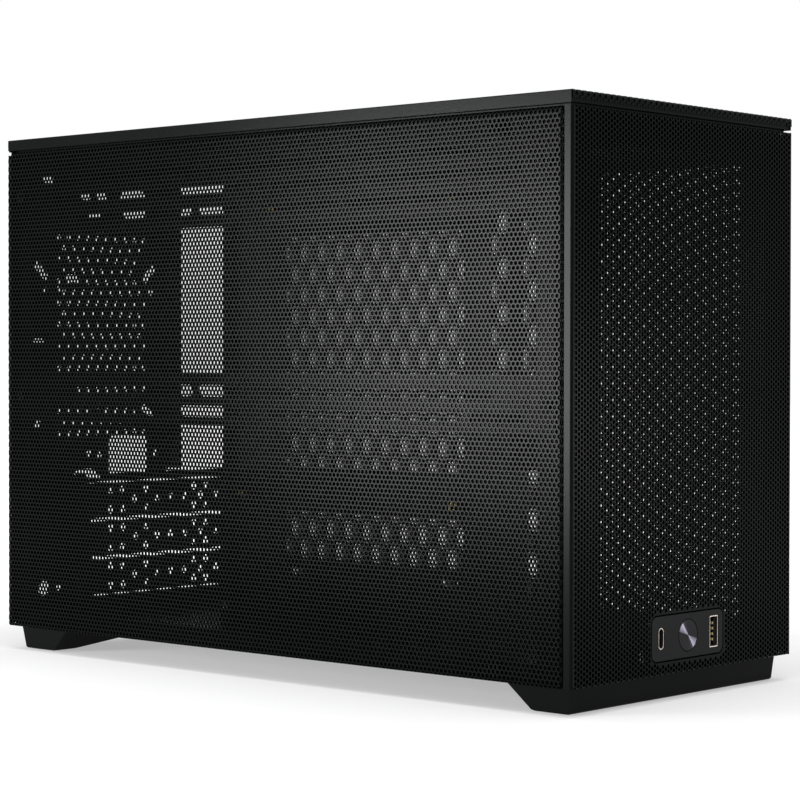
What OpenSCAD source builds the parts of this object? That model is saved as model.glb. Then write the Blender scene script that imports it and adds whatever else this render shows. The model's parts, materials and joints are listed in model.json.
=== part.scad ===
// Mini computer case: a slim tower with perforated steel panels on a sheet metal chassis.
// Millimetres. X is the width, Y the depth with the front at -Y, Z up, floor at Z = 0.

/* [Node] */
// Which node to draw

/* [Outside] */
// Overall width over the side panels
width = 167; // [140:1:205]
// Overall depth from the front panel to the rear folds
depth = 365; // [345:1:440]
// Overall height, feet included
height = 261; // [258:1:320]
// Height of the foot rails
foot_h = 12; // [8:0.2:20]
// Thickness of every steel sheet
sheet = 1; // [0.8:0.1:1.4]

/* [Panels] */
// Height of the solid side band of the top panel
band_h = 5.4; // [4:0.2:8]
// Depth of the solid side return of the front panel
strip_d = 4.2; // [3:0.2:6]
// Clearance between the front panel's side return and the side panels
strip_gap = 0.8; // [0.5:0.1:1.4]
// Clearance between the side panels' folded edges and the chassis
fold_gap = 0.7; // [0.4:0.1:1.4]
// Gap between neighbouring panels
panel_gap = 1; // [0.6:0.1:1.6]
// Corner radius of the top panel
top_r = 2.5; // [1:0.5:6]
// Pitch of the perforation on the real panels
mesh_pitch = 2.33; // [2:0.01:4]
// Hole diameter of the perforation on the real panels
mesh_hole = 1.55; // [1:0.05:3]
// How many times coarser the perforation is drawn here
mesh_coarsen = 6; // [5:1:10]

/* [Chassis] */
// Clear space between a side panel's outside and the chassis side
side_gap = 4.5; // [3.7:0.1:6]
// Distance from the front panel's face to the front frame
front_gap = 5; // [4.4:0.1:7]
// Height of the base and top flanges
flange_h = 8; // [6.6:0.2:10]
// Distance of the motherboard's mounting face from the tray
standoff_h = 6.35; // [5:0.05:10]
// Clearance between the chassis wings and the outer panels
wing_gap = 0.4; // [0.3:0.1:1]

/* [Controls] */
// Centre of the port plate across the width
io_x = 0.5; // [-20:0.5:20]
// Centre of the port plate above the base
io_rise = 16; // [15:0.5:24]
// Length of the port plate
io_l = 54; // [50:0.5:66]
// Height of the port plate
io_h = 19.4; // [18:0.2:24]
// Radius of the power button
button_r = 6.9; // [5:0.1:8.4]
// Travel of the power button
button_travel = 1.2; // [0.5:0.1:1.5]

/* [Hidden] */
e = 0.01;
hw = width / 2;
hd = depth / 2;
zb = foot_h;
zt = height;
cx = hw - side_gap;
yf = -hd + front_gap;
yr = hd - 1.5 - sheet;
zc = zt - 6 - sheet;
rib = cx - sheet;
tray_x = rib - 2 * sheet;
wing_x = hw - sheet - wing_gap;
fold_d = side_gap - fold_gap;
pitch = mesh_pitch * mesh_coarsen;
hole_r = mesh_hole * mesh_coarsen / 2;
panel_top = zt - band_h - panel_gap;
side_y0 = -hd + strip_d + strip_gap;
end_x = cx - 9;
stud_y = hd - 42.5;
stud_lo = zb + sheet + 4;
stud_hi = zc - 6;
top_stud_x = cx - 8.5;
front_stud_x = rib - sheet - 4;
front_stud_z = [zb + 21, zc - 21];
flange_z = zb + sheet + flange_h;
// Rear openings, placed from the board's mounting face and from the base
board_x = tray_x - standoff_h;
board_rear = yr - 2.2;
board_front = board_rear - 165.1;
slot_pitch = 20.32;
slot_z = zb + 21.2;
board_z = slot_z + 39.8;
slot_x1 = board_x - 2.65;
slot_x0 = slot_x1 - 97;
aper_z = slot_z + 54.7;
aper_x = board_x - 0.7 - 44.45;
inlet = [-cx + 76, slot_z + 64.8];
fan_c = [-cx + 53.5, slot_z + 124.2];
// Side bracket rows and power supply bracket
fan_z = zc - 76.5;
row_hi = fan_z + 52.5;
row_lo = fan_z - 53.3;
bracket_z = [fan_z - 47.5, fan_z + 54.5];
bracket_y = [yf + 12, yr - 4.2];
psu_y = yf + 105.5;
psu_c = [tray_x - 32.5, zc - 88];
psu_z = [psu_c[1] - 56, psu_c[1], psu_c[1] + 56];
tray_pins = [[yf + 11, zb + 48], [yf + 11, zc - 54], [yr - 10, zb + 28], [yr - 10, zc - 24]];
foot_y = [-hd + 16.5, hd - 17.5];
pad_x = [hw - 32.5, hw - 15.5];
pad_l = [15, 6];
foot_x = hw - 28.5;
// Port plate
io_z = zb + io_rise;
io_d = io_l / 2 - 2;
io_v = max(io_h / 2 - 0.7, button_r + 1.9);
ear_x = io_l / 2 + 3.5;
btn_x = io_x + 0.2;
screw_r = 1.25;
tap_r = screw_r + 0.05;
clear_r = 1.7;
black = [0.07, 0.07, 0.075];
steel = [0.55, 0.56, 0.58];
grey = [0.2, 0.2, 0.22];

// Sheets standing across X, Y or lying flat: the 2D shape is drawn in the other two axes
module in_x(x, t) translate([x, 0, 0]) rotate([90, 0, 90]) linear_extrude(height = t) children();
module in_y(y, t) translate([0, y + t, 0]) rotate([90, 0, 0]) linear_extrude(height = t) children();
module in_z(z, t) translate([0, 0, z]) linear_extrude(height = t) children();
module rod_x(x0, x1, y, z, r) translate([x0, y, z]) rotate([0, 90, 0]) cylinder(h = x1 - x0, r = r, $fn = 32);
module rod_y(y0, y1, x, z, r) translate([x, y1, z]) rotate([90, 0, 0]) cylinder(h = y1 - y0, r = r, $fn = 32);
module rod_z(z0, z1, x, y, r) translate([x, y, z0]) cylinder(h = z1 - z0, r = r, $fn = 32);
module span(x0, x1, y0, y1) translate([x0, y0]) square([x1 - x0, y1 - y0]);
module block(a, b) translate(a) cube(b - a);
module round_rect(x0, x1, y0, y1, r) {
  span(x0 + r, x1 - r, y0, y1);
  span(x0, x1, y0 + r, y1 - r);
  for (x = [x0 + r, x1 - r]) for (y = [y0 + r, y1 - r]) translate([x, y]) circle(r = r, $fn = 32);
}
module slot(l, w) {
  square([l - w, w], center = true);
  for (s = [-1, 1]) translate([s * (l - w) / 2, 0]) circle(r = w / 2, $fn = 24);
}
// Staggered rows of round holes, filling a rectangle
module holes(x0, x1, y0, y1, p, r) {
  rows = floor((y1 - y0 - 2 * r) / (p * 0.866));
  cols = floor((x1 - x0 - 2 * r) / p);
  ym = (y0 + y1 - rows * p * 0.866) / 2;
  xm = (x0 + x1 - cols * p) / 2;
  for (j = [0 : rows]) for (i = [0 : cols - j % 2])
    translate([xm + (i + (j % 2) / 2) * p, ym + j * p * 0.866]) circle(r = r, $fn = 24);
}

// Chassis
module base_plate() color(black) difference() {
  union() {
    in_z(zb, sheet) span(-cx, cx, yf + sheet, yr);
    for (s = [-1, 1]) in_x(s > 0 ? rib : -cx, sheet) span(yf + sheet, yr, zb + sheet - e, flange_z);
    in_y(yf + sheet, sheet) {
      span(-end_x, io_x - ear_x - 3.5, zb + sheet - e, flange_z);
      span(io_x + ear_x + 3.5, end_x, zb + sheet - e, flange_z);
    }
    in_y(yr - sheet, sheet) span(-end_x, end_x, zb + sheet - e, flange_z);
  }
  for (s = [-1, 1]) for (y = [-stud_y, stud_y])
    rod_x(s * cx - 2, s * cx + 2, y, stud_lo, 2.5);
  for (s = [-1, 1]) rod_y(yf, yf + 4, s * (end_x - 10), stud_lo, clear_r);
  for (s = [-1, 1]) rod_y(yr - 4, yr + 4, s * (end_x - 10), stud_lo, clear_r);
  for (x = [-foot_x, foot_x]) for (y = foot_y) rod_z(zb - 1, zb + 3, x, y, clear_r);
}
// Joggled wing that closes the gap between the front frame and a side panel
module front_wing(s) translate([0, 0, zb + sheet + 0.5]) linear_extrude(height = panel_top - zb - 2 * sheet - 1)
  polygon([[s * (cx - 3), side_y0 - 1.3], [s * wing_x, side_y0 - 1.3], [s * wing_x, side_y0 - 0.3],
    [s * cx, side_y0 - 0.3], [s * cx, yf + e], [s * (cx - 3), yf + e]]);
module front_frame() color(black) difference() {
  union() {
    in_y(yf, sheet) difference() {
      span(-cx, cx, zb, zc);
      difference() {
        round_rect(-cx + 11, cx - 11, zb + 15, zc - 13, 4);
        for (s = [-1, 1]) for (z = front_stud_z) translate([s * front_stud_x, z]) circle(r = 6, $fn = 24);
      }
      span(io_x - io_d - 1, io_x + io_d + 1, io_z - io_v - 0.8, zb + 20);
    }
    for (s = [-1, 1]) in_x(s > 0 ? rib - sheet : -rib, sheet)
      span(yf + sheet - e, yf + 17.5, zb + sheet, zc);
    for (s = [-1, 1]) front_wing(s);
  }
  for (s = [-1, 1]) for (z = front_stud_z) rod_y(yf - 1, yf + 2, s * front_stud_x, z, 2.5);
  for (s = [-1, 1]) for (z = [stud_lo, zc - 4]) rod_y(yf - 1, yf + 2, s * (end_x - 10), z, clear_r);
  for (s = [-1, 1]) rod_y(yf - 1, yf + 2, io_x + s * ear_x, io_z - 7, tap_r);
  for (z = bracket_z) rod_x(-cx, -rib + 2, bracket_y[0], z, tap_r);
  for (i = [0, 1]) rod_x(rib - 3, cx, tray_pins[i][0], tray_pins[i][1], clear_r);
}
// Round fan holes in staggered rows, kept clear of the corner slots
module fan_grid() intersection() {
  x0 = -cx + 28.2;
  z1 = zc - 38.3;
  cols = floor((aper_x - 14.5 - x0) / 6.6);
  rows = floor((z1 - slot_z - 76) / 5.716);
  difference() {
    for (j = [0 : rows]) for (i = [0 : cols - j % 2])
      translate([x0 + (i + (j % 2) / 2) * 6.6, z1 - 2.8 - j * 5.716]) circle(r = 1.6, $fn = 20);
    for (a = [-1, 1]) for (b = [-1, 1]) translate(fan_c + [a * 37.5, b * 37.5]) circle(r = 9.5, $fn = 24);
  }
  span(-cx + 20, aper_x - 10, slot_z + 70, zc - 30);
}
module rear_cut() {
  span(aper_x, aper_x + 44.45, aper_z, aper_z + 158.75);
  span(slot_x0, slot_x1, slot_z - 10.1, slot_z + 2 * slot_pitch + 10.1);
  translate(inlet) polygon([[-13.7, -10], [14, -10], [14, 8], [12, 10], [-11.7, 10], [-13.7, 8]]);
  for (s = [-1, 1]) translate(inlet + [s * 20, 0]) circle(r = 1.75, $fn = 24);
  fan_grid();
  for (a = [-1, 1]) for (b = [-1, 1])
    translate(fan_c + [a * 37.5, b * 37.5]) rotate(a * b * 45) slot(12, 4.3);
  translate([-cx + 52, zc - 17.5]) slot(19.5, 6.8);
  translate([-cx + 79.7, zc - 17.5]) slot(18.5, 6.8);
  translate([-cx + 52.7, zc - 28.4]) slot(10, 3);
  translate([-cx + 81, zc - 26.6]) slot(17, 5.4);
  translate([-cx + 20.6, zc - 11.5]) slot(8.2, 3.4);
  // Small slots and holes beside the fan and the inlet
  translate(fan_c + [-16.7, 34.2]) slot(8.5, 4);
  translate(fan_c + [-39.3, 1.3]) slot(8, 2);
  translate([slot_x0 - 2, slot_z + 55]) polygon([[-10, 0], [-6, 2.8], [4, 2.8], [9.5, -1.4], [9.5, -2.8], [1, -2.8], [-1, 0]]);
  for (p = [[39.2, 28.1], [-25.5, 28.1], [-35.2, 27.6], [-40.2, -42.5], [-5, -58.2]]) translate(fan_c + p) circle(r = 1.8, $fn = 20);
  translate([-cx + 17.5, zb + 17.5]) circle(r = 4, $fn = 24);
  translate([-cx + 27.5, zb + 17.5]) circle(r = 1.75, $fn = 24);
}
module rear_panel() color(black) difference() {
  union() {
    in_y(yr, sheet) difference() { span(-cx, cx, zb, zc); rear_cut(); }
    // Wings that close the gap behind the side panels
    for (s = [-1, 1]) in_y(yr, sheet) scale([s, 1]) {
      span(cx - e, wing_x, zb + sheet + 0.5, zc - 0.3);
      span(cx + 0.3, wing_x, zb + sheet + 0.5, zt - band_h + 1.4);
    }
    in_x(-rib, sheet) span(yr - 8.5, yr + e, zb + sheet, zc);
    in_x(rib - sheet, sheet) span(yr - 20, yr + e, zb + sheet, zc);
    in_x(aper_x - sheet, sheet) span(yr - 12, yr + e, aper_z + 1.9, aper_z + 158.5);
  }
  for (s = [-1, 1]) rod_y(yr - 1, yr + 2, s * (end_x - 10), stud_lo, clear_r);
  for (s = [-1, 1]) rod_y(yr - 1, yr + 2, s * (rib - sheet - 5), zc - 3.5, clear_r);
  for (z = bracket_z) rod_x(-cx, -rib + 2, bracket_y[1], z, tap_r);
  for (i = [2, 3]) rod_x(rib - 3, cx, tray_pins[i][0], tray_pins[i][1], clear_r);
}
module top_frame() color(black) difference() {
  union() {
    in_z(zc, sheet) difference() {
      span(-cx, cx, yf, yr + sheet);
      round_rect(-cx + 19, cx - 19, 6, yr - 20, 4);
      round_rect(-cx + 19, cx - 19, yf + 17.5, -6, 4);
    }
    for (s = [-1, 1]) in_x(s > 0 ? rib : -cx, sheet) span(yf + sheet, yr, zc - 1.5 * flange_h, zc + e);
    in_y(yf + sheet, sheet) span(-end_x, end_x, zc - 1.5 * flange_h, zc + e);
    in_y(yr - sheet, sheet) span(-rib + sheet + 1.5, rib - sheet - 1.5, zc - 6, zc + e);
  }
  for (s = [-1, 1]) for (y = [-stud_y, stud_y])
    rod_x(s * cx - 2, s * cx + 2, y, stud_hi, 2.5);
  for (s = [-1, 1]) for (y = [-stud_y, stud_y]) rod_z(zc - 1, zc + 2, s * top_stud_x, y, 2.5);
  for (s = [-1, 1]) rod_y(yf, yf + 4, s * (end_x - 10), zc - 4, clear_r);
  for (s = [-1, 1]) rod_y(yr - 4, yr + 1, s * (rib - sheet - 5), zc - 3.5, clear_r);
}
module tray_cut() {
  round_rect(yf + 18, psu_y - 3.6, zb + 15, zc - 13, 4);
  polygon([[psu_y + 34, zc - 22], [board_front - 20.7, zc - 22], [board_front - 20.7, board_z + 65],
    [psu_y + 28, board_z + 65], [psu_y + 28, zc - 28]]);
  span(psu_y + 28, psu_y + 40.5, zb + 16, zb + 106);
  round_rect(board_front - 2.7, board_rear - 38.8, board_z + 17, board_z + 143, 5);
  round_rect(board_front - 2.3, board_rear - 38.8, zb + 28, board_z - 7, 4);
  for (y = [board_front + 7.3, board_rear - 47.8]) for (z = [zb + 21, zc - 13]) translate([y, z]) slot(12, 4);
}
module motherboard_tray() color(black) difference() {
  in_x(tray_x, sheet) difference() { span(yf + 5.5, yr - sheet, zb + sheet, zc); tray_cut(); }
  for (p = tray_pins) rod_x(rib - 3, cx, p[0], p[1], clear_r);
  for (p = standoff_at()) rod_x(tray_x - 1, tray_x + 2, p[0], p[1], 1.6);
  for (z = psu_z) rod_x(tray_x - 1, tray_x + 2, psu_y + 12, z, tap_r);
  for (y = [-stud_y, stud_y]) for (z = [stud_lo, stud_hi]) rod_x(tray_x - 1, tray_x + 2, y, z, 4.4);
}
// Side bracket: two long slot rows for fan screws, two inner rows, one window
module row(spans, z, w) for (s = [-1, 1]) for (p = spans)
  translate([s * (p[0] + p[1]) / 2, z]) slot(p[1] - p[0], w);
module fan_bracket() color(black) difference() {
  in_x(-cx, sheet) difference() {
    span(yf + 7.5, yr - 1.7, fan_z - 60.1, fan_z + 60.7);
    round_rect(yf + 17.5, yr - 11.7, fan_z - 35.5, fan_z + 34.5, 3);
    row([[1.8, 58.9], [62.5, 119.6], [123.2, hd - 29.5]], row_hi, 3.6);
    row([[1.8, 58.9], [62.5, 119.6], [123.2, hd - 29.5]], row_lo, 5.4);
    for (z = [fan_z + 42.4, fan_z - 43.4]) {
      translate([0, z]) slot(92, z > fan_z ? 3.6 : 5.6);
      row([[49.6, hd - 47]], z, z > fan_z ? 3.6 : 5.6);
    }
  }
  for (y = bracket_y) for (z = bracket_z) rod_x(-cx - 1, -rib + 1, y, z, clear_r);
}
module screw_x(x, dir, y, z, l) translate([x, y, z]) rotate([0, dir * 90, 0]) {
  difference() {
    cylinder(h = 1.6, r = 2.6, $fn = 32);
    translate([0, 0, 0.8]) cylinder(h = 1, r = 1.1, $fn = 6);
  }
  translate([0, 0, -l]) cylinder(h = l + e, r = screw_r, $fn = 24);
}
module bracket_screws() color(steel)
  for (y = bracket_y) for (z = bracket_z) screw_x(-cx, -1, y, z, 4);
module rivet_y(y, x, z, l) {
  rod_y(y - 0.7, y, x, z, 2.6);
  rod_y(y - e, y + l + e, x, z, 1.6);
  rod_y(y + l, y + l + 0.7, x, z, 2.4);
}
module frame_rivets() color(steel) {
  for (s = [-1, 1]) for (z = [stud_lo, zc - 4]) rivet_y(yf, s * (end_x - 10), z, 2 * sheet);
  for (s = [-1, 1]) rivet_y(yr - sheet, s * (end_x - 10), stud_lo, 2 * sheet);
  for (s = [-1, 1]) rivet_y(yr - sheet, s * (rib - sheet - 5), zc - 3.5, 2 * sheet);
}
module tray_rivets() color(steel)
  for (p = tray_pins) {
    rod_x(tray_x - 0.7, tray_x, p[0], p[1], 2.4);
    rod_x(tray_x - e, rib + e, p[0], p[1], 1.6);
    rod_x(rib, rib + 0.7, p[0], p[1], 2.6);
  }
function standoff_at() = [[board_front, board_z], [board_front, board_z + 157.48],
  [board_rear - 10.16, board_z], [board_rear - 33.02, board_z + 157.48]];
module board_standoffs() color([0.72, 0.58, 0.3])
  for (p = standoff_at()) difference() {
    union() {
      translate([board_x, p[0], p[1]]) rotate([0, 90, 0]) cylinder(h = standoff_h, r = 2.9, $fn = 6);
      rod_x(tray_x - e, tray_x + sheet, p[0], p[1], 1.5);
    }
    rod_x(board_x - 1, board_x + 5, p[0], p[1], screw_r);
  }

// Power supply bracket: a ring plate with a side flange
module psu_bracket() color(black) difference() {
  union() {
    in_y(psu_y, sheet) difference() {
      span(psu_c[0] - 31.5, tray_x, psu_c[1] - 70, psu_c[1] + 70);
      translate(psu_c) round_rect(-21, 21, -50, 50, 4);
      for (a = [-1, 1]) for (b = [-1, 1]) translate(psu_c + [a * 25.75, b * 56.5]) circle(r = 1.8, $fn = 24);
    }
    in_x(tray_x - sheet, sheet) span(psu_y + sheet - e, psu_y + 22, psu_c[1] - 70, psu_c[1] + 70);
  }
  for (z = psu_z) rod_x(tray_x - 2, tray_x + 1, psu_y + 12, z, clear_r);
}
module psu_bracket_screws() color(steel)
  for (z = psu_z) screw_x(tray_x - sheet, -1, psu_y + 12, z, 2.6);

// Expansion slots
module slot_cover(i) color(black) {
  z = slot_z + i * slot_pitch;
  x0 = slot_x0 - 10;
  difference() {
    union() {
      in_y(yr - sheet, sheet) difference() {
        span(x0, slot_x1 + 5, z - 9.2, z + 9.2);
        for (x = [24, 32.5, 49.5, 85, 94]) for (s = [-1, 1]) translate([x0 + x, z + s * 5.2]) circle(r = 2.2, $fn = 16);
        for (x = [41.5, 57.5, 67.5, 78, 90, 102]) translate([x0 + x, z]) circle(r = 2.2, $fn = 16);
      }
      in_x(x0, sheet) span(yr - 12, yr - sheet + e, z - 9.2, z + 9.2);
    }
    rod_x(x0 - 1, x0 + 2, yr - 7, z, clear_r);
  }
}
module slot_cover_1() slot_cover(2);
module slot_cover_2() slot_cover(1);
module slot_cover_3() slot_cover(0);
module slot_ledge() color(black) difference() {
  block([slot_x0 - 15, yr - 12, slot_z - 10], [slot_x0 - 10, yr, slot_z + 2 * slot_pitch + 10]);
  for (i = [0 : 2]) rod_x(slot_x0 - 16, slot_x0 - 9, yr - 7, slot_z + i * slot_pitch, tap_r);
}
module slot_screws() color(steel)
  for (i = [0 : 2]) screw_x(slot_x0 - 10 + sheet, 1, yr - 7, slot_z + i * slot_pitch, 5);

// Feet: two rails, each cut from a side profile and a front profile
module foot(profile) intersection() {
  translate([-hw, 0, 0]) rotate([90, 0, 90]) linear_extrude(height = width) polygon(profile);
  in_y(-hd, depth) polygon([[-hw + 5, zb], [-hw + 6.4, 1.1], [-hw + 7, 0.5], [hw - 7, 0.5], [hw - 6.4, 1.1], [hw - 5, zb]]);
}
module foot_cut(i, y) {
  for (x = [-pad_x[i], pad_x[i]]) block([x - pad_l[i], y - 5, 0], [x + pad_l[i], y + 5, 1.5]);
  for (x = [-foot_x, foot_x]) rod_z(4, zb + 1, x, y, tap_r);
}
module front_foot() color(black) difference() {
  foot([[-hd + 5.5, zb], [-hd + 6.3, 1.1], [-hd + 6.9, 0.5], [-hd + 24.6, 0.5], [-hd + 26.3, 1], [-hd + 38.8, zb]]);
  foot_cut(0, foot_y[0]);
}
module rear_foot() color(black) difference() {
  foot([[hd - 5.5, zb], [hd - 7, 1.1], [hd - 7.6, 0.5], [hd - 28.2, 0.5], [hd - 29, 1], [hd - 40.3, zb]]);
  foot_cut(1, foot_y[1]);
  // Shallow arch under the middle of the rear rail
  in_y(-hd, depth + 1) polygon([[-hw + 20.5, 0], [-hw + 20.5, 0.5], [-hw + 54, zb * 0.4], [hw - 54, zb * 0.4], [hw - 20.5, 0.5], [hw - 20.5, 0]]);
}
module foot_pads() color([0.03, 0.03, 0.03]) for (i = [0, 1]) for (x = [-pad_x[i], pad_x[i]])
  in_z(0, 1.5) translate([x, foot_y[i]]) round_rect(-pad_l[i], pad_l[i], -5, 5, 0.8);
module foot_screws() color(steel) for (y = foot_y) for (x = [-foot_x, foot_x])
  translate([0, y, 0]) {
    rod_z(zb + sheet, zb + sheet + 1.6, x, 0, 2.8);
    rod_z(4.5, zb + sheet + e, x, 0, screw_r);
  }

// Ball studs on the panels and spring clips on the chassis
module stud(reach) {
  cylinder(h = 1, r = 3.2, $fn = 32);
  cylinder(h = reach - 1.4, r = 1.2, $fn = 32);
  translate([0, 0, reach]) sphere(r = 2, $fn = 32);
}
module clip() difference() {
  cylinder(h = 3, r = 3.7, $fn = 32);
  translate([0, 0, -1]) cylinder(h = 6, r = 2.4, $fn = 32);
}
module side_at(s, x) for (y = [-stud_y, stud_y]) for (z = [stud_lo, stud_hi]) translate([s * x, y, z]) rotate([0, -s * 90, 0]) children();
module top_at(z) for (s = [-1, 1]) for (y = [-stud_y, stud_y]) translate([s * top_stud_x, y, z]) rotate([180, 0, 0]) children();
module front_at(y) for (s = [-1, 1]) for (z = front_stud_z) translate([s * front_stud_x, y, z]) rotate([-90, 0, 0]) children();
module left_clips() color(steel) side_at(-1, rib) clip();
module right_clips() color(steel) side_at(1, rib) clip();
module front_clips() color(steel) front_at(yf + sheet) clip();
module top_clips() color(steel) top_at(zc) clip();
module left_studs() color(steel) side_at(-1, hw - sheet) stud(side_gap + 0.5);
module right_studs() color(steel) side_at(1, hw - sheet) stud(side_gap + 0.5);
module front_studs() color(steel) front_at(-hd + sheet) stud(front_gap + 0.5);
module top_studs() color(steel) top_at(zt - sheet) stud(zt - zc - sheet + 0.8);

// Panels: folded pans with a coarse perforation
module side_sheet() {
  difference() {
    span(side_y0, hd, zb, panel_top);
    holes(side_y0 + 4, hd - 4, zb + 4, panel_top - 4, pitch, hole_r);
  }
  for (y = [-stud_y, stud_y]) for (z = [stud_lo, stud_hi]) translate([y, z]) circle(r = 4, $fn = 32);
}
module side_panel(s) color(black) {
  in_x(s > 0 ? hw - sheet : -hw, sheet) side_sheet();
  x0 = s > 0 ? hw - fold_d : -hw + sheet - e;
  x1 = s > 0 ? hw - sheet + e : -hw + fold_d;
  in_z(zb, sheet) span(x0, x1, side_y0, hd);
  in_z(panel_top - sheet, sheet) span(x0, x1, side_y0, yr - 0.5);
  in_y(side_y0, sheet) span(x0, x1, zb, panel_top);
  in_y(hd - sheet, sheet) span(x0, x1, zb, panel_top);
}
module left_panel() side_panel(-1);
module right_panel() side_panel(1);
module front_panel() color(black) {
  in_y(-hd, sheet) difference() {
    span(-hw, hw, zb, panel_top);
    difference() {
      holes(-hw + 2, hw - 2, zb + 4, panel_top - 4, pitch, hole_r);
      span(io_x - io_l / 2 - 3, io_x + io_l / 2 + 3, io_z - io_h / 2 - 3, io_z + io_h / 2 + 3);
    }
    round_rect(io_x - io_l / 2 - 0.6, io_x + io_l / 2 + 0.6, io_z - io_h / 2 - 0.6, io_z + io_h / 2 + 0.6, 4);
  }
  for (s = [-1, 1]) for (z = front_stud_z) rod_y(-hd, -hd + sheet, s * front_stud_x, z, 4);
  for (s = [-1, 1]) in_x(s > 0 ? hw - sheet : -hw, sheet) span(-hd, -hd + strip_d, zb, panel_top);
  for (z = [zb, panel_top - sheet]) in_z(z, sheet) span(-hw, hw, -hd, -hd + strip_d);
}
module top_panel() color(black) {
  difference() {
    in_z(zt - band_h, band_h) round_rect(-hw, hw, -hd, hd, top_r);
    in_z(zt - band_h - 1, band_h - sheet + 1)
      round_rect(-hw + sheet, hw - sheet, -hd + sheet, hd - sheet, max(top_r - sheet, 0.1));
    in_z(zt - 2, 3) holes(-hw + 3, hw - 3, -hd + 4, hd - 4, pitch, hole_r);
  }
  for (s = [-1, 1]) for (y = [-stud_y, stud_y]) rod_z(zt - sheet, zt, s * top_stud_x, y, 4);
}

// Port plate, ports and power button
cz = io_x - 19.9;
az = io_x + 20.3;
module port_cut(y0, y1, g) {
  in_y(y0, y1 - y0) { round_rect(cz - 1.95 - g, cz + 1.95 + g, io_z - 4.65 - g, io_z + 4.65 + g, 1.9);
    span(az - 3.25 - g, az + 3.25 + g, io_z - 7 - g, io_z + 7 + g); }
}
module io_plate() color(grey) difference() {
  in_y(-hd, 1.5) round_rect(io_x - io_l / 2, io_x + io_l / 2, io_z - io_h / 2, io_z + io_h / 2, 3.4);
  port_cut(-hd - 1, -hd + 3, 0.1);
  rod_y(-hd - 1, -hd + 3, btn_x, io_z, button_r + 0.4);
}
module io_housing() color([0.04, 0.04, 0.04]) difference() {
  union() {
    block([io_x - io_d, -hd + 1.5, io_z - io_v], [io_x + io_d, -hd + 16.5, io_z + io_v]);
    difference() {
      block([io_x - ear_x - 3.5, yf - 1.5, io_z - 12], [io_x + ear_x + 3.5, yf, io_z - 2]);
      for (s = [-1, 1]) rod_y(yf - 2, yf + 1, io_x + s * ear_x, io_z - 7, 1.6);
    }
  }
  port_cut(-hd, -hd + 17, 0.1);
  rod_y(-hd + 1, -hd + 6.3, btn_x, io_z, button_r + 1.1);
  rod_y(-hd + 1, -hd + 17, btn_x, io_z, 3.2);
  block([btn_x - 3.3, -hd + 11, io_z - 3.3], [btn_x + 3.3, -hd + 17, io_z + 3.3]);
}
module io_screws() color(steel) for (s = [-1, 1]) {
  rod_y(yf - 2.6, yf - 1.5, io_x + s * ear_x, io_z - 7, 2.4);
  rod_y(yf - 1.6, yf + 2.4, io_x + s * ear_x, io_z - 7, screw_r);
}
module io_board() color([0.05, 0.16, 0.09]) {
  block([io_x - io_d, -hd + 16.5, io_z - 8.5], [io_x + io_d, -hd + 18.1, io_z + 8.5]);
  color([0.06, 0.06, 0.06]) difference() {
    block([io_x - 12, -hd + 18.05, io_z - 3], [io_x + 9, -hd + 27, io_z + 3]);
    block([io_x - 11, -hd + 20, io_z - 2], [io_x + 8, -hd + 28, io_z + 2]);
  }
}
module usb_c_shell() color(steel) in_y(-hd + 0.2, 16.3) difference() {
  round_rect(cz - 1.95, cz + 1.95, io_z - 4.65, io_z + 4.65, 1.9);
  round_rect(cz - 1.6, cz + 1.6, io_z - 4.3, io_z + 4.3, 1.55);
}
module usb_c_tongue() color([0.04, 0.04, 0.04]) {
  block([cz - 0.35, -hd + 1.6, io_z - 3.3], [cz + 0.35, -hd + 16.5, io_z + 3.3]);
  block([cz - 1.5, -hd + 9, io_z - 3.3], [cz + 1.5, -hd + 16.5, io_z + 3.3]);
}
module usb_a_shell() color(steel) in_y(-hd + 0.2, 16.3) difference() {
  round_rect(az - 3.25, az + 3.25, io_z - 7, io_z + 7, 0.5);
  round_rect(az - 2.85, az + 2.85, io_z - 6.6, io_z + 6.6, 0.3);
}
module usb_a_tongue() color([0.04, 0.04, 0.04]) {
  block([az + 0.3, -hd + 1.6, io_z - 5.6], [az + 2.1, -hd + 16.5, io_z + 5.6]);
  block([az - 2.75, -hd + 12, io_z - 6.5], [az + 2.75, -hd + 16.5, io_z + 6.5]);
}
module usb_a_contacts() color([0.85, 0.65, 0.25]) for (i = [-1.5 : 1.5])
  block([az, -hd + 2.6, io_z + i * 2.4 - 0.5], [az + 0.3, -hd + 12, io_z + i * 2.4 + 0.5]);
module power_switch() color([0.1, 0.1, 0.1]) {
  block([btn_x - 3, -hd + 13, io_z - 3], [btn_x + 3, -hd + 16.5, io_z + 3]);
  rod_y(-hd + 10.4 + button_travel, -hd + 13.1, btn_x, io_z, 1.5);
}
module power_button() color([0.6, 0.6, 0.63]) {
  rod_y(-hd, -hd + 2, btn_x, io_z, button_r);
  rod_y(-hd + 1.8, -hd + 2.9, btn_x, io_z, button_r + 0.7);
  rod_y(-hd + 2.8, -hd + 10, btn_x, io_z, 2.6);
}

base_plate();
front_frame();
rear_panel();
top_frame();
motherboard_tray();
fan_bracket();
bracket_screws();
frame_rivets();
tray_rivets();
board_standoffs();
psu_bracket();
psu_bracket_screws();
slot_cover_1();
slot_cover_2();
slot_cover_3();
slot_ledge();
slot_screws();
front_foot();
rear_foot();
foot_pads();
foot_screws();
left_clips();
right_clips();
front_clips();
top_clips();
io_housing();
io_plate();
io_screws();
io_board();
usb_c_shell();
usb_c_tongue();
usb_a_shell();
usb_a_tongue();
usb_a_contacts();
power_switch();
power_button();
left_panel();
left_studs();
right_panel();
right_studs();
front_panel();
front_studs();
top_panel();
top_studs();
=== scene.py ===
import bpy
import json
import math
import numpy as np
from mathutils import Matrix, Vector


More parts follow.
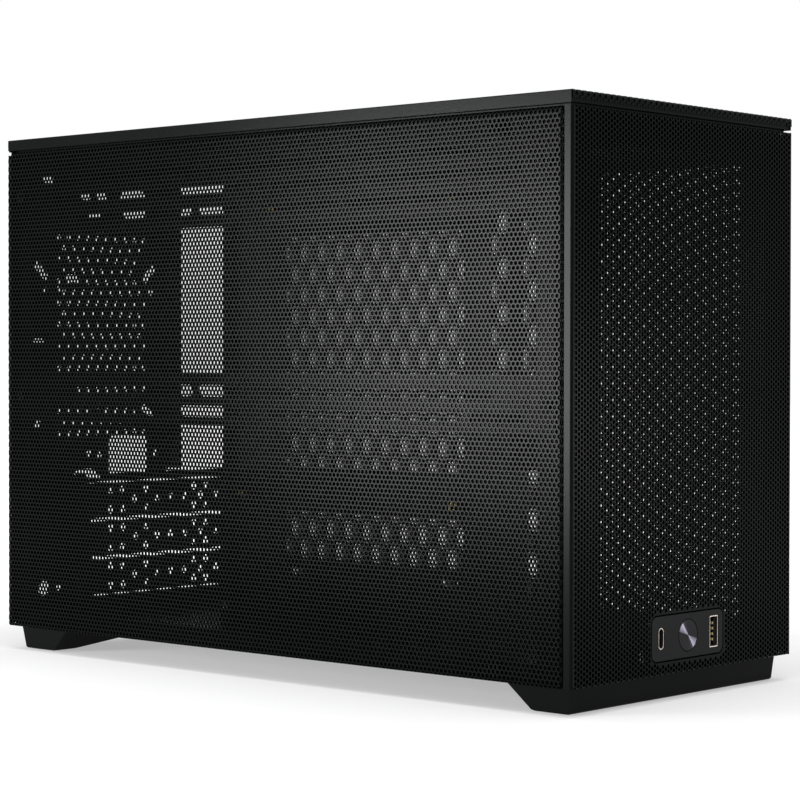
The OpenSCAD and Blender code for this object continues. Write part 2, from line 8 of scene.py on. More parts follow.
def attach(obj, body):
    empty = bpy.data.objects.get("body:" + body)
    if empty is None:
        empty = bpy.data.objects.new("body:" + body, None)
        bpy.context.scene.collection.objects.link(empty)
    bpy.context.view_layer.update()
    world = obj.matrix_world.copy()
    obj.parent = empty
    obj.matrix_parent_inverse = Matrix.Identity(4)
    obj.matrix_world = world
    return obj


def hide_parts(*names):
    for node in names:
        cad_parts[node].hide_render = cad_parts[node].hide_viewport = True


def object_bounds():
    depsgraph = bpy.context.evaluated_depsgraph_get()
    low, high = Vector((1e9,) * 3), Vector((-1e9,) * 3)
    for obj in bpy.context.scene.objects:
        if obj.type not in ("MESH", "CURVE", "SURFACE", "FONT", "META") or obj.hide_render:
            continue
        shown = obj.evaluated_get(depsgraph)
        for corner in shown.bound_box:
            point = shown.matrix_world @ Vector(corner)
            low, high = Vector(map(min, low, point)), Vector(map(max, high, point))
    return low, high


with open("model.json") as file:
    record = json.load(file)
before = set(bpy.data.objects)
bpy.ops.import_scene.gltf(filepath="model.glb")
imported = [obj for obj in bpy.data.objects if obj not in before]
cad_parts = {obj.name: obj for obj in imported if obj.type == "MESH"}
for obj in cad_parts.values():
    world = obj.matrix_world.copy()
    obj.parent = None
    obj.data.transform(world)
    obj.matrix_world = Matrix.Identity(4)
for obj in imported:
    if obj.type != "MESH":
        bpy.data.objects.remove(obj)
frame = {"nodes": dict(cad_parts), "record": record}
cad_lo, cad_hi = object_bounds()
NODES = frame["nodes"]

# Sizes, in millimetres; the case's own come from the frame
MM = 0.001
W, D, H = (round((hi - lo) / MM, 3) for lo, hi in zip(cad_lo, cad_hi))
HW, HD = W / 2, D / 2
FOOT = 12.0            # underside of the side panels and the front panel
BAND = 5.4             # height of the top panel's edge
PANEL_TOP = H - BAND - 1.0
FRONT_GAP = 5.0        # the side panels start this far behind the front face
PITCH = 2.33           # hole to hole in a row
ROW = 0.866025         # row spacing as a share of the pitch, rounded
HOLE_A = 0.86          # half of a hole's width across its flats
SKIN = 0.9             # thickness of the solid folded edges
THICK = 1.0            # depth of the hole walls
FAR_DEPTH = 1.6        # depth of the right panel's hole walls, see side_panel()
BEND_R = 1.1
TOP_BEND_R = 0.4
FOLD = 3.0             # how far the perforation runs round a fold
EDGE = 0.6             # a hole whose middle is nearer to a face's edge counts as on the fold
FAR = 1e4              # an edge that a flat pattern never reaches, so it isn't folded there
BEND_STEPS = 6         # in a quarter turn
IO_X, IO_Z, IO_L, IO_H = 0.5, 28.0, 54.0, 19.4   # control plate: middle, width and height
IO_GAP = 0.7           # from the control plate to the cut-out round it
IO_CORNER = 4.0        # corner radius of the front panel's cut-out
USB_A_X = IO_X + 20.3  # outer face of the USB-A socket's contacts
BUTTON_X = 0.7         # axis of the power button, at the height IO_Z
CHASSIS = "chassis"


# Materials
GRAIN_DEPTH = 0.00004             # metres
# The button's two light wedges are a painted highlight in its colour
PAINTED_GLINT_AXIS = math.radians(144.3)    # the button's two light wedges lie along this line
PAINTED_GLINT_EDGE = (42, 34)               # a wedge's whole angle in degrees, where it starts and is full


def new_mat(name):
    m = bpy.data.materials.new(name)
    m.use_nodes = True
    nt = m.node_tree
    return m, nt, nt.nodes["Principled BSDF"]


def noise(nt, scale, detail, rough):
    tc = nt.nodes.new("ShaderNodeTexCoord")
    n = nt.nodes.new("ShaderNodeTexNoise")
    n.inputs["Scale"].default_value = scale
    n.inputs["Detail"].default_value = detail
    n.inputs["Roughness"].default_value = rough
    nt.links.new(tc.outputs["Object"], n.inputs["Vector"])
    return n


def ramp(nt, src, a, b, lo=0.3, hi=0.7):
    """Carries src from the range lo..hi to the range a..b."""
    r = nt.nodes.new("ShaderNodeMapRange")
    r.inputs["From Min"].default_value = lo
    r.inputs["From Max"].default_value = hi
    r.inputs["To Min"].default_value = a
    r.inputs["To Max"].default_value = b
    nt.links.new(src, r.inputs["Value"])
    return r.outputs["Result"]


def mix_col(nt, fac, a, b):
    m = nt.nodes.new("ShaderNodeMix")
    m.data_type = "RGBA"
    m.inputs[6].default_value = (*a, 1)
    m.inputs[7].default_value = (*b, 1)
    nt.links.new(fac, m.inputs[0])
    return m.outputs[2]


def bump(nt, src, dist, strength):
    b = nt.nodes.new("ShaderNodeBump")
    b.inputs["Distance"].default_value = dist
    b.inputs["Strength"].default_value = strength
    nt.links.new(src, b.inputs["Height"])
    return b.outputs["Normal"]


def coat(name, dark, light, rough_lo, rough_hi, metal=0.0, spec=0.5, scale=1800, strength=0.35):
    """A finish with a fine grain in its surface and a slow drift in its colour and gloss."""
    m, nt, p = new_mat(name)
    grain = noise(nt, scale, 2.0, 0.6)
    cloud = noise(nt, 9, 3.0, 0.5)
    nt.links.new(mix_col(nt, cloud.outputs["Fac"], dark, light), p.inputs["Base Color"])
    nt.links.new(ramp(nt, cloud.outputs["Fac"], rough_lo, rough_hi), p.inputs["Roughness"])
    nt.links.new(bump(nt, grain.outputs["Fac"], GRAIN_DEPTH, strength), p.inputs["Normal"])
    p.inputs["Metallic"].default_value = metal
    p.inputs["Specular IOR Level"].default_value = spec
    return m


MAT = {
    "black_powder_coat": coat(
        "powder_coat", (0.0026, 0.0031, 0.0032), (0.0042, 0.0048, 0.0049),
        0.19, 0.23, spec=0.035),
    "panel_powder_coat": coat(
        "panel_coat", (0.0026, 0.0033, 0.0034), (0.0042, 0.0051, 0.0052),
        0.19, 0.22, spec=0.035),
    "black_plastic": coat(
        "black_plastic", (0.003, 0.0034, 0.0034), (0.0045, 0.0049, 0.0049),
        0.45, 0.55, spec=0.03, scale=2600, strength=0.25),
    "rubber": coat(
        "rubber", (0.003, 0.003, 0.003), (0.005, 0.005, 0.005),
        0.75, 0.85, spec=0.05),
    "zinc_steel": coat(
        "zinc_steel", (0.42, 0.43, 0.45), (0.55, 0.56, 0.58),
        0.28, 0.4, metal=1.0, scale=900, strength=0.15),
    "connector_steel": coat(
        "connector_steel", (0.40, 0.35, 0.31), (0.52, 0.46, 0.41),
        0.25, 0.35, metal=1.0, scale=1500, strength=0.1),
    "dark_steel": coat(
        "dark_steel", (0.010, 0.010, 0.011), (0.014, 0.014, 0.015),
        0.35, 0.45, metal=1.0, scale=900, strength=0.15),
    # hole walls: a darker copy of the coat without gloss, painted shade inside the holes
    "hole_edge": coat(
        "hole_edge", (0.0012, 0.0013, 0.0013), (0.0018, 0.0020, 0.0020),
        0.5, 0.6, spec=0.0, scale=2600, strength=0.2),
    "far_hole_edge": coat(
        "far_hole_edge", (0.0012, 0.0013, 0.0013), (0.0018, 0.0020, 0.0020),
        0.28, 0.32, spec=0.5, scale=2600, strength=0.2),
    "gold_plate": coat(
        "gold_plate", (0.60, 0.48, 0.20), (0.70, 0.58, 0.28),
        0.4, 0.5, metal=0.2, spec=0.3, scale=900, strength=0.1),
    "brass": coat(
        "brass", (0.13, 0.10, 0.04), (0.17, 0.13, 0.055),
        0.4, 0.5, metal=1.0, scale=900, strength=0.1),
    "grey_anodised": coat(
        "grey_anodised", (0.0065, 0.007, 0.0078), (0.0085, 0.009, 0.0098),
        0.42, 0.5, spec=0.05, scale=3500, strength=0.2),
    "circuit_board": coat(
        "circuit_board", (0.006, 0.03, 0.016), (0.010, 0.04, 0.024),
        0.35, 0.5, spec=0.3, scale=600, strength=0.2),
}


def math_node(nt, kind, a, b=None):
    """A math node on outputs or plain numbers."""
    n = nt.nodes.new("ShaderNodeMath")
    n.operation = kind
    for k, v in enumerate((a, b)):
        if isinstance(v, float):
            n.inputs[k].default_value = v
        elif v is not None:
            nt.links.new(v, n.inputs[k])
    return n.outputs[0]


def turned_metal_painted_glint():
    """The power button: fine turned rings, with two painted highlight wedges in its colour that
    meet in the middle; the lamp adds a real anisotropic highlight on top.
    """
    m, nt, p = new_mat("turned_metal_painted_glint")
    tc = nt.nodes.new("ShaderNodeTexCoord")
    w = nt.nodes.new("ShaderNodeTexWave")
    w.wave_type = "RINGS"
    w.rings_direction = "Y"
    w.inputs["Scale"].default_value = 1500
    w.inputs["Distortion"].default_value = 0.4
    mp = nt.nodes.new("ShaderNodeMapping")
    mp.inputs["Location"].default_value = (-BUTTON_X * MM, 0, -IO_Z * MM)
    nt.links.new(tc.outputs["Object"], mp.inputs["Vector"])
    nt.links.new(mp.outputs["Vector"], w.inputs["Vector"])
    sep = nt.nodes.new("ShaderNodeSeparateXYZ")
    nt.links.new(mp.outputs["Vector"], sep.inputs[0])
    turn = math_node(nt, "ARCTAN2", sep.outputs["Z"], sep.outputs["X"])
    turn = math_node(nt, "SUBTRACT", turn, PAINTED_GLINT_AXIS)
    turn = math_node(nt, "COSINE", math_node(nt, "MULTIPLY", turn, 2.0))
    painted_wedge = ramp(nt, turn, 0.0, 1.0, *(math.cos(math.radians(a)) for a in PAINTED_GLINT_EDGE))
    rings = mix_col(nt, w.outputs["Fac"], (0.010, 0.010, 0.012), (0.014, 0.0135, 0.016))
    # painted highlight: the two wedges add a lighter, lavender colour to the metal's own
    painted_glint = mix_col(nt, painted_wedge, (0, 0, 0), (0.095, 0.087, 0.114))
    both = nt.nodes.new("ShaderNodeMix")
    both.data_type = "RGBA"
    both.blend_type = "ADD"
    both.inputs[0].default_value = 1.0
    nt.links.new(rings, both.inputs[6])
    nt.links.new(painted_glint, both.inputs[7])
    nt.links.new(both.outputs[2], p.inputs["Base Color"])
    nt.links.new(bump(nt, w.outputs["Fac"], 0.000005, 0.05), p.inputs["Normal"])
    p.inputs["Metallic"].default_value = 1.0
    p.inputs["Roughness"].default_value = 0.30
    p.inputs["Anisotropic"].default_value = 0.97
    p.inputs["Anisotropic Rotation"].default_value = 0.25
    t = nt.nodes.new("ShaderNodeTangent")
    t.direction_type = "RADIAL"
    t.axis = "Y"
    nt.links.new(t.outputs["Tangent"], p.inputs["Tangent"])
    return m


MAT["bare_aluminium"] = turned_metal_painted_glint()
slots = {s["node"]: s["material_slot"] for s in frame["record"]["subparts"]}
for name, obj in NODES.items():
    obj.data.materials.clear()
    finish = slots.get(name, "black_powder_coat")
    if name in ("usb_a_shell", "usb_c_shell"):
        finish = "connector_steel"
    elif name.endswith(("_clips", "_studs", "_rivets")) or name == "bracket_screws":
        finish = "dark_steel"
    obj.data.materials.append(MAT[finish])


# Perforated sheets
def hex_sheet(nu, nv, u0, v0, keep_fn, hole_fn, upright=False):
    """Web of a staggered hole pattern: hole corners, web faces, and each hole's ring of corners.

    Rows run along u, or along v when upright. A cell that keep_fn takes and hole_fn doesn't is
    closed instead of a hole.
    """
    rad = HOLE_A / math.cos(math.pi / 6)
    j, i = np.mgrid[0:nv, 0:nu]
    cu = u0 + (i + (j % 2) / 2) * PITCH
    cv = v0 + j * PITCH * math.sqrt(3) / 2
    ang = np.radians(30 + 60 * np.arange(6))
    pu = cu[..., None] + rad * np.cos(ang)
    pv = cv[..., None] + rad * np.sin(ang)
    if upright:
        cu, cv, pu, pv = cv, cu, pv, pu
    keep = keep_fn(cu, cv)
    hole = keep & hole_fn(cu, cv)
    vid = (np.arange(nu * nv) * 6).reshape(nv, nu)

    def at(di, dj, odd):
        ii = i + di + (odd * (j % 2))
        jj = j + dj
        ok = (ii >= 0) & (ii < nu) & (jj >= 0) & (jj < nv)
        iic, jjc = np.clip(ii, 0, nu - 1), np.clip(jj, 0, nv - 1)
        return vid[jjc, iic], ok & keep[jjc, iic] & keep

    e_id, e_ok = at(1, 0, 0)
    ne_id, ne_ok = at(0, 1, 1)
    nw_id, nw_ok = at(-1, 1, 1)
    quads = [
        np.stack([vid + 5, e_id + 3, e_id + 2, vid + 0], -1)[e_ok],
        np.stack([vid + 0, ne_id + 4, ne_id + 3, vid + 1], -1)[ne_ok],
        np.stack([vid + 1, nw_id + 5, nw_id + 4, vid + 2], -1)[nw_ok],
    ]
    tris = [
        np.stack([vid + 1, ne_id + 3, nw_id + 5], -1)[ne_ok & nw_ok],
        np.stack([vid + 0, e_id + 2, ne_id + 4], -1)[e_ok & ne_ok],
    ]
    solid = keep & ~hole
    s = vid[solid]
    quads += [np.stack([s, s + 1, s + 2, s + 3], -1), np.stack([s, s + 3, s + 4, s + 5], -1)]
    quads = np.concatenate(quads)
    tris = np.concatenate(tris)
    if upright:
        quads, tris = quads[:, ::-1], tris[:, ::-1]
    rings = vid[hole][:, None] + np.arange(6)
    return np.stack([pu.ravel(), pv.ravel()], -1), quads, tris, rings


def make_mesh(name, co, quads, tris, mat, body, stands_for=()):
    """One piece from corners and faces; it moves with body and replaces the CAD nodes named."""
    used = np.zeros(len(co), bool)
    used[quads.ravel()] = True
    used[tris.ravel()] = True
    remap = np.cumsum(used) - 1
    co = co[used]
    loops = np.concatenate([remap[quads].ravel(), remap[tris].ravel()])
    totals = np.concatenate([np.full(len(quads), 4), np.full(len(tris), 3)])
    starts = np.concatenate([[0], np.cumsum(totals)[:-1]])
    me = bpy.data.meshes.new(name)
    me.vertices.add(len(co))
    me.vertices.foreach_set("co", (co * MM).astype(np.float32).ravel())
    me.loops.add(len(loops))
    me.loops.foreach_set("vertex_index", loops.astype(np.int32))
    me.polygons.add(len(totals))
    me.polygons.foreach_set("loop_start", starts.astype(np.int32))
    me.polygons.foreach_set("loop_total", totals.astype(np.int32))
    me.update(calc_edges=True)
    me.validate()
    me.materials.append(mat)
    ob = bpy.data.objects.new(name, me)
    bpy.context.scene.collection.objects.link(ob)
    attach(ob, body)
    for n in stands_for:
        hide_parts(n)


def bent(s, r):
    """A sheet's run s past the start of a bend, as in-plane advance, depth and normal angle."""
    th = np.clip(s / r, 0, math.pi / 2)
    over = np.maximum(s - r * math.pi / 2, 0)
    s0 = np.minimum(s, 0)
    return s0 + r * np.sin(th), r * (1 - np.cos(th)) + over, th


def fold_map(uv, u0, u1, v0, v1, r):
    """Folds a flat pattern back along its four edges. Gives u, v, depth and the normal."""
    u, v = uv[:, 0], uv[:, 1]
    au, du, tu = bent(u - (u1 - r), r)
    bu, eu, su = bent((u0 + r) - u, r)
    av, dv, tv = bent(v - (v1 - r), r)
    bv, ev, sv = bent((v0 + r) - v, r)
    mid_u, mid_v = (u0 + u1) / 2, (v0 + v1) / 2
    uu = np.where(u > mid_u, u1 - r + au, u0 + r - bu)
    vv = np.where(v > mid_v, v1 - r + av, v0 + r - bv)
    dep = np.maximum.reduce([du, eu, dv, ev])
    nu = np.where(u > mid_u, np.sin(tu), -np.sin(su))
    nv = np.where(v > mid_v, np.sin(tv), -np.sin(sv))
    nn = np.cos(np.maximum.reduce([tu, su, tv, sv]))
    n = np.stack([nu, nv, nn], -1)
    n /= np.linalg.norm(n, axis=1)[:, None]
    return uu, vv, dep, n


NO_TRIS = np.zeros((0, 3), int)


def walls_from(top, inner, rings, edges=range(6)):
    """Hole walls between two layers of corners, on the given edges of each hexagon."""
    k = len(top)
    co = np.concatenate([top, inner])
    a = rings[:, list(edges)]
    b = np.roll(rings, -1, axis=1)[:, list(edges)]
    quads = np.stack([a, a + k, b + k, b], -1).reshape(-1, 4)
    return co, quads


def side_panel(side):
    """Left (-1) or right (+1) panel: perforated right through its folded edges.

    Seen from the left, light comes in past the right panel. Its hole walls are deeper than its
    sheet and there are three to a hole, which keeps that light down with few triangles.
    """
    y0, y1, z0, z1 = -HD + FRONT_GAP, HD, FOOT, PANEL_TOP
    nu = int((y1 - y0 + 2 * FOLD) / PITCH) + 2
    nv = int((z1 - z0 + 2 * FOLD) / (PITCH * ROW)) + 2
    u0 = (y0 + y1 - nu * PITCH) / 2
    v0 = (z0 + z1 - (nv - 1) * PITCH * ROW) / 2

    def keep(cu, cv):
        du = np.maximum(y0 + EDGE - cu, cu - (y1 - EDGE))
        dv = np.maximum(z0 + EDGE - cv, cv - (z1 - EDGE))
        wing = (cu > y1 - 3.6) & (cv > z1 - EDGE)    # room for the rear panel's wing
        return (du < FOLD) & (dv < FOLD) & ~((du > 0) & (dv > 0)) & ~wing

    uv, quads, tris, rings = hex_sheet(nu, nv, u0, v0, keep, lambda cu, cv: np.ones_like(cu, bool))
    uu, vv, dep, n = fold_map(uv, y0, y1, z0, z1, BEND_R)
    x = side * (HW - dep)
    outer = np.stack([x, uu, vv], -1)
    inner = outer - THICK * np.stack([side * n[:, 2], n[:, 0], n[:, 1]], -1)
    if side < 0:
        quads, tris = quads[:, ::-1], tris[:, ::-1]
    name = "left_panel" if side < 0 else "right_panel"
    make_mesh(name + "_mesh", outer, quads, tris, MAT["panel_powder_coat"], name, [name])
    if side > 0:    # three of the six walls, on the flat face only
        flat = rings[(np.abs(n[rings, 2]) > 0.999).all(1)]
        co, wq = walls_from(outer, outer - np.array([FAR_DEPTH, 0, 0]), flat, (1, 2, 3))
        make_mesh(name + "_hole_walls", co, wq, NO_TRIS, MAT["far_hole_edge"], name)
    else:
        co, wq = walls_from(outer, inner, rings)
        half = len(wq) // 2 // 6 * 6
        make_mesh(name + "_hole_walls_lower", co, wq[:half], NO_TRIS, MAT["hole_edge"], name)
        make_mesh(name + "_hole_walls_upper", co, wq[half:], NO_TRIS, MAT["hole_edge"], name)


side_panel(-1)
side_panel(1)


def rounded_outline(x0, x1, y0, y1, r):
    """Points round a rectangle with rounded corners, anticlockwise."""
    pts = []
    corners = ((x1 - r, y0 + r), (x1 - r, y1 - r), (x0 + r, y1 - r), (x0 + r, y0 + r))
    for turn, (cx, cy) in enumerate(corners):
        for k in range(BEND_STEPS + 1):
            a = math.radians(90 * (turn - 1) + 90 * k / BEND_STEPS)
            pts.append((cx + r * math.cos(a), cy + r * math.sin(a)))
    return pts


def solid_from(name, verts, faces, body, bev=0.0, mat="panel_powder_coat"):
    """One piece from corners in millimetres and faces, its edges bevelled by bev."""
    me = bpy.data.meshes.new(name)
    me.from_pydata([Vector(v) * MM for v in verts], [], faces)
    me.update()
    me.validate()
    me.materials.append(MAT[mat])
    ob = bpy.data.objects.new(name, me)
    bpy.context.scene.collection.objects.link(ob)
    if bev:
        b = ob.modifiers.new("edge", "BEVEL")
        b.width = bev * MM
        b.segments = 3
        b.limit_method = "ANGLE"
        b.angle_limit = math.radians(40)
        b.harden_normals = True
    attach(ob, body)


def box_solid(name, lo, hi, body, bev=0.2, mat="panel_powder_coat"):
    x0, y0, z0 = lo
    x1, y1, z1 = hi
    v = [(x, y, z) for z in (z0, z1) for x, y in ((x0, y0), (x1, y0), (x1, y1), (x0, y1))]
    f = [(0, 3, 2, 1), (4, 5, 6, 7), (0, 1, 5, 4), (1, 2, 6, 5), (2, 3, 7, 6), (3, 0, 4, 7)]
    solid_from(name, v, f, body, bev, mat)


def bend_arc(centre_a, centre_b, r, sign):
    """Points of a quarter turn from the face round to the side, in a profile's own plane."""
    turns = [math.radians(90 * k / BEND_STEPS) for k in range(BEND_STEPS + 1)]
    return [(centre_a + r * math.sin(a), centre_b + sign * r * math.cos(a)) for a in turns]


def swept(name, pts, place, ends, flip, body):
    """A profile carried straight between two ends; place(a, b, end) gives a corner."""
    k = len(pts)
    verts = [place(a, b, end) for end in ends for a, b in pts]
    faces = [(i, (i + 1) % k, (i + 1) % k + k, i + k) for i in range(k)]
    faces += [tuple(range(k))[::-1], tuple(range(k, 2 * k))]
    if flip:
        faces = [f[::-1] for f in faces]
    solid_from(name, verts, faces, body)


def ring_solid(name, inner_pts, outer_pts, ya, yb, body, mat="panel_powder_coat"):
    """A closed ring between two outlines, from depth ya to yb."""
    k = len(inner_pts)
    loops = [(inner_pts, ya), (inner_pts, yb), (outer_pts, yb), (outer_pts, ya)]
    verts = [(a, y, b) for pts, y in loops for a, b in pts]
    faces = []
    for r in range(4):
        here, there = r * k, (r + 1) % 4 * k
        faces += [(here + i, here + (i + 1) % k, there + (i + 1) % k, there + i) for i in range(k)]
    solid_from(name, verts, faces, body, 0.0, mat)


def grown(gap, r):
    """The control plate's outline, larger by gap on every side."""
    half_l, half_h = IO_L / 2 + gap, IO_H / 2 + gap
    return rounded_outline(IO_X - half_l, IO_X + half_l, IO_Z - half_h, IO_Z + half_h, r)


def rr_dist(x, z, hx, hz, r):
    """Distance from a rounded rectangle's edge, negative inside."""
    qx, qz = np.abs(x) - (hx - r), np.abs(z) - (hz - r)
    return np.hypot(np.maximum(qx, 0), np.maximum(qz, 0)) + np.minimum(np.maximum(qx, qz), 0) - r


def front_panel():
    """Perforated face that folds at the top and bottom; solid side returns and cut-out edge."""
    x0, x1, z0, z1 = -HW, HW, FOOT, PANEL_TOP
    nu = int((z1 - z0 + 2 * FOLD) / PITCH) + 2
    nv = int((x1 - x0) / (PITCH * ROW)) + 3
    u0 = (z0 + z1 - nu * PITCH) / 2
    v0 = -(nv - 1) * PITCH * ROW / 2
    inner_r = HW - BEND_R - 0.2       # where the perforated sheet meets the side returns
    side_rim, cut_rim = 2.2, 0.9      # no hole's middle is nearer to these edges

    def cut(cx, cz):
        return rr_dist(cx - IO_X, cz - IO_Z, IO_L / 2 + IO_GAP, IO_H / 2 + IO_GAP, IO_CORNER)

    def keep(cx, cz):
        dz = np.maximum(z0 + EDGE - cz, cz - (z1 - EDGE))
        return (np.abs(cx) < inner_r + 1.5) & (dz < FOLD) & (cut(cx, cz) > -1.2)

    def hole(cx, cz):
        return (np.abs(cx) < HW - side_rim) & (cut(cx, cz) > cut_rim)

    uv, quads, tris, rings = hex_sheet(nu, nv, u0, v0, keep, hole, upright=True)
    uv[:, 0] = np.clip(uv[:, 0], -inner_r, inner_r)
    near = cut(uv[:, 0], uv[:, 1]) < 0
    eps = 1e-3
    for _ in range(3):    # corners that fall inside the cut-out move out to its edge
        gx = (cut(uv[near, 0] + eps, uv[near, 1]) - cut(uv[near, 0] - eps, uv[near, 1])) / (2 * eps)
        gz = (cut(uv[near, 0], uv[near, 1] + eps) - cut(uv[near, 0], uv[near, 1] - eps)) / (2 * eps)
        dd = cut(uv[near, 0], uv[near, 1])
        uv[near, 0] -= gx * dd
        uv[near, 1] -= gz * dd
    uu, vv, dep, n = fold_map(uv, -FAR, FAR, z0, z1, BEND_R)
    outer = np.stack([uu, -HD + dep, vv], -1)
    inner = outer - THICK * np.stack([n[:, 0], -n[:, 2], n[:, 1]], -1)
    make_mesh("front_panel_mesh", outer, quads, tris,
              MAT["panel_powder_coat"], "front_panel", ["front_panel"])
    co, wq = walls_from(outer, inner, rings)
    make_mesh("front_panel_hole_walls", co, wq, NO_TRIS, MAT["hole_edge"], "front_panel")
    back = -HD + 4.2
    profile = [(inner_r, -HD)] + bend_arc(HW - BEND_R, -HD + BEND_R, BEND_R, -1)
    profile += [(HW, back), (HW - SKIN, back), (HW - SKIN, -HD + SKIN), (inner_r, -HD + SKIN)]
    for side, nm in ((-1, "left"), (1, "right")):
        swept("front_panel_return_" + nm, [(side * a, b) for a, b in profile],
              lambda a, b, end: (a, b, end), (z0 + 0.1, z1 - 0.1), side < 0, "front_panel")
    ring_solid("front_panel_cutout_edge",
               grown(IO_GAP, IO_CORNER), grown(IO_GAP + 0.4, IO_CORNER + 0.4),
               -HD + 0.02, -HD + 1.15, "front_panel")


front_panel()


# Control plate: a black ring in the gap round it, whose dark unglossy finish is painted shade of
# that gap, and the visible tips of the USB-A socket
ring_solid("io_plate_gap_shade_ring", grown(0.02, 3.42), grown(0.62, 3.95),
           -HD + 0.25, -HD + 1.6, CHASSIS, "hole_edge")
box_solid("usb_a_tongue_tip", (USB_A_X + 0.32, -HD + 0.75, IO_Z - 5.6),
          (USB_A_X + 2.1, -HD + 1.65, IO_Z + 5.6), CHASSIS, 0.05, "black_plastic")
for k in range(4):
    z = IO_Z + (k - 1.5) * 2.4
    box_solid("usb_a_contact_tip_%d" % (k + 1), (USB_A_X - 0.02, -HD + 0.8, z - 0.55),
              (USB_A_X + 0.32, -HD + 2.7, z + 0.55), CHASSIS, 0.05, "gold_plate")


def top_panel():
    """Perforated top and front band, solid side and rear bands, and linings behind the bands."""
    x0, x1, y0, y1 = -HW, HW, -HD, HD
    z_top, z_low = H, H - BAND
    fold = BAND - 0.4                 # as FOLD, for the front and rear bands
    side_rim, rear_rim = 2.4, 1.8     # no hole's middle is nearer to these edges
    nu = int((y1 - y0 + 2 * fold) / PITCH) + 2
    nv = int((x1 - x0) / (PITCH * ROW)) + 3
    u0 = (y0 + y1 - nu * PITCH) / 2
    v0 = -(nv - 1) * PITCH * ROW / 2
    inner_x = HW - TOP_BEND_R - 0.1

    def keep(cx, cy):
        dy = np.maximum(y0 + EDGE - cy, cy - (y1 - EDGE))
        return (np.abs(cx) < inner_x + 1.5) & (dy < fold)

    def hole(cx, cy):
        bend = (cy > y0 - EDGE) & (cy < y0 + 2.4)
        return (np.abs(cx) < HW - side_rim) & (cy < y1 - rear_rim) & ~bend

    uv, quads, tris, _ = hex_sheet(nu, nv, u0, v0, keep, hole, upright=True)
    uv[:, 0] = np.clip(uv[:, 0], -inner_x, inner_x)
    uv[:, 1] = np.clip(uv[:, 1], y0 - fold - EDGE, y1 + fold + EDGE)
    uu, vv, dep, _ = fold_map(uv, -FAR, FAR, y0, y1, TOP_BEND_R)
    outer = np.stack([uu, vv, z_top - np.minimum(dep, BAND)], -1)
    make_mesh("top_panel_mesh", outer, quads[:, ::-1], tris[:, ::-1],
              MAT["panel_powder_coat"], "top_panel", ["top_panel"])
    profile = [(inner_x, z_top)] + bend_arc(HW - TOP_BEND_R, z_top - TOP_BEND_R, TOP_BEND_R, 1)
    profile += [(HW, z_low), (HW - SKIN, z_low), (HW - SKIN, z_top - SKIN), (inner_x, z_top - SKIN)]
    for side, nm in ((-1, "left"), (1, "right")):
        swept("top_panel_band_" + nm, [(side * a, z) for a, z in profile],
              lambda a, z, end: (a, end, z), (y0 + 0.7, y1 - 0.7), side > 0, "top_panel")
    low, high = PANEL_TOP + 0.15, H - 1.1
    side_x, front_y, end_y = HW - 3.5, -HD + 3.3, HD - 2.9    # where the linings stand
    linings = {
        "band": ((-HW + 1.2, -HD + 1.1, H - BAND + 0.3), (HW - 1.2, -HD + 1.3, H - 0.15)),
        "left": ((-side_x - 0.3, front_y, low), (-side_x, end_y, high)),
        "right": ((side_x, front_y + 0.3, low), (side_x + 0.3, end_y, high)),
        "front": ((-side_x, front_y, low), (HW - 2.1, front_y + 0.2, high)),
        "rear": ((-HW + 0.3, HD - 1.3, low + 0.2), (HW - 0.3, HD - 1.1, high)),
    }
    for nm, (lo, hi) in linings.items():
        box_solid("top_panel_lining_" + nm, lo, hi, "top_panel", 0.05)


top_panel()


# Floor, light and camera
def area(name, loc, target, size, size_y, power):
    """An area lamp that looks at target; metres and watts."""
    l = bpy.data.lights.new(name, "AREA")
    l.shape = "RECTANGLE"
    l.size, l.size_y, l.energy = size, size_y, power
    o = bpy.data.objects.new(name, l)
    bpy.context.scene.collection.objects.link(o)
    o.location = loc
    o.rotation_euler = (Vector(target) - Vector(loc)).to_track_quat("-Z", "Y").to_euler()


def seen_ray(nt):
    """1 for camera, glossy and transmission rays, 0 for the light that falls on the object."""
    lp = nt.nodes.new("ShaderNodeLightPath")
    out = lp.outputs["Is Camera Ray"]
    for kind in ("Is Glossy Ray", "Is Transmission Ray"):
        out = math_node(nt, "MAXIMUM", out, lp.outputs[kind])
    return out


FLOOR_HALF = 6.0    # metres
me = bpy.data.meshes.new("floor")
corners = [(-1, -1), (1, -1), (1, 1), (-1, 1)]
me.from_pydata([(x * FLOOR_HALF, y * FLOOR_HALF, 0) for x, y in corners], [], [(0, 1, 2, 3)])
floor = bpy.data.objects.new("floor", me)
bpy.context.scene.collection.objects.link(floor)
m, nt, p = new_mat("floor_white")
p.inputs["Base Color"].default_value = (0.62, 0.62, 0.62, 1)
p.inputs["Roughness"].default_value = 0.9
p.inputs["Specular IOR Level"].default_value = 0.0
tc = nt.nodes.new("ShaderNodeTexCoord")
far = nt.nodes.new("ShaderNodeVectorMath")
far.operation = "LENGTH"
nt.links.new(tc.outputs["Object"], far.inputs[0])
GLOW, GLOW_RADIUS = (0.40, 0.85), (0.25, 0.7)    # strength, and metres from the middle
glow = ramp(nt, far.outputs["Value"], *GLOW, *GLOW_RADIUS)
em = nt.nodes.new("ShaderNodeEmission")
add = nt.nodes.new("ShaderNodeAddShader")
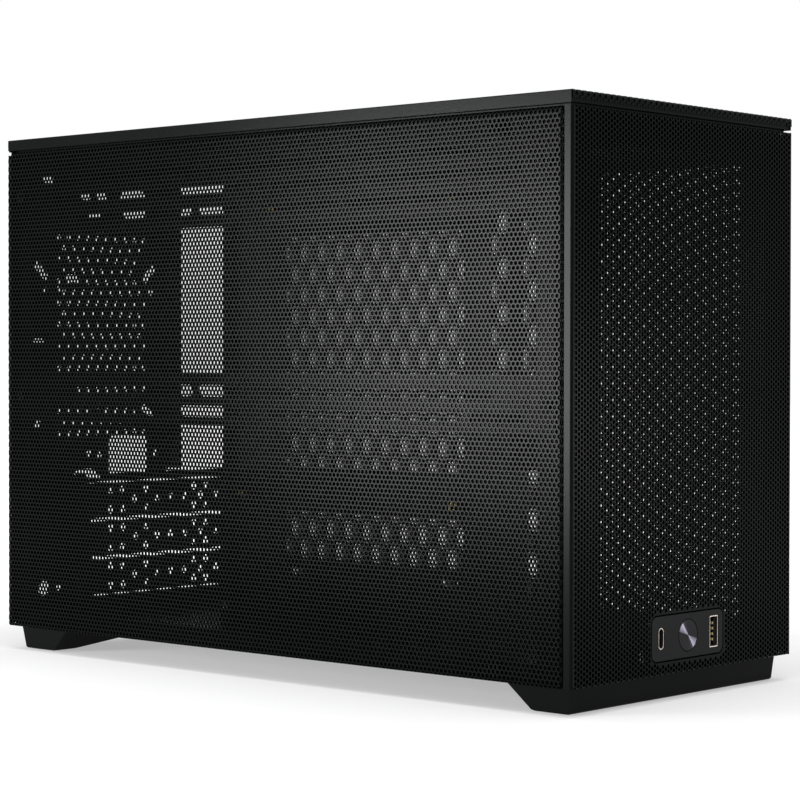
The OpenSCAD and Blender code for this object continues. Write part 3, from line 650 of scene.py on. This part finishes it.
nt.links.new(math_node(nt, "MULTIPLY", seen_ray(nt), glow), em.inputs["Strength"])
nt.links.new(p.outputs[0], add.inputs[0])
nt.links.new(em.outputs[0], add.inputs[1])
nt.links.new(add.outputs[0], nt.nodes["Material Output"].inputs["Surface"])
me.materials.append(m)

world = bpy.data.worlds.new("studio")
bpy.context.scene.world = world
world.use_nodes = True
nt = world.node_tree
bg = nt.nodes["Background"]
bg.inputs["Color"].default_value = (1, 1, 1, 1)
WORLD_LIGHT, WORLD_SEEN = 0.45, 1.0    # strength as light on the object, and as seen or mirrored
nt.links.new(ramp(nt, seen_ray(nt), WORLD_LIGHT, WORLD_SEEN, 0.0, 1.0), bg.inputs["Strength"])

area("key_side", (-1.271, 0.785, 0.20), (-0.0835, -0.085, 0.19), 0.45, 0.38, 22)
area("front_fill", (1.09, -1.35, 0.07), (0, -0.182, 0.03), 0.25, 0.2, 4.5)
area("overhead", (-0.2, -0.3, 2.0), (0, 0, 0.1), 1.6, 1.6, 28)

# Camera, as fitted to the photo: angles, focal length in pixels of an 800-pixel picture, metres
YAW, PIT, ROLL = math.radians(48.3733), math.radians(0.9769), math.radians(0.0778)
FPX, PHOTO_PX = 2404.9012, 800
CAM_AT = (-0.8737758, -0.7896984, 0.1493276)
fw = Vector((math.sin(YAW) * math.cos(PIT), math.cos(YAW) * math.cos(PIT), -math.sin(PIT)))
right = fw.cross(Vector((0, 0, 1))).normalized()
up = right.cross(fw)
r2 = right * math.cos(ROLL) + up * math.sin(ROLL)
u2 = -right * math.sin(ROLL) + up * math.cos(ROLL)
cam = bpy.data.objects.new("camera", bpy.data.cameras.new("camera"))
bpy.context.scene.collection.objects.link(cam)
cam.data.sensor_width = 36.0
cam.data.lens = cam.data.sensor_width * FPX / PHOTO_PX
cam.data.clip_end = 50
rot = Matrix((r2, u2, -fw)).transposed().to_4x4()
cam.matrix_world = Matrix.Translation(Vector(CAM_AT)) @ rot
bpy.context.scene.camera = cam
bpy.context.scene.view_settings.view_transform = "Standard"
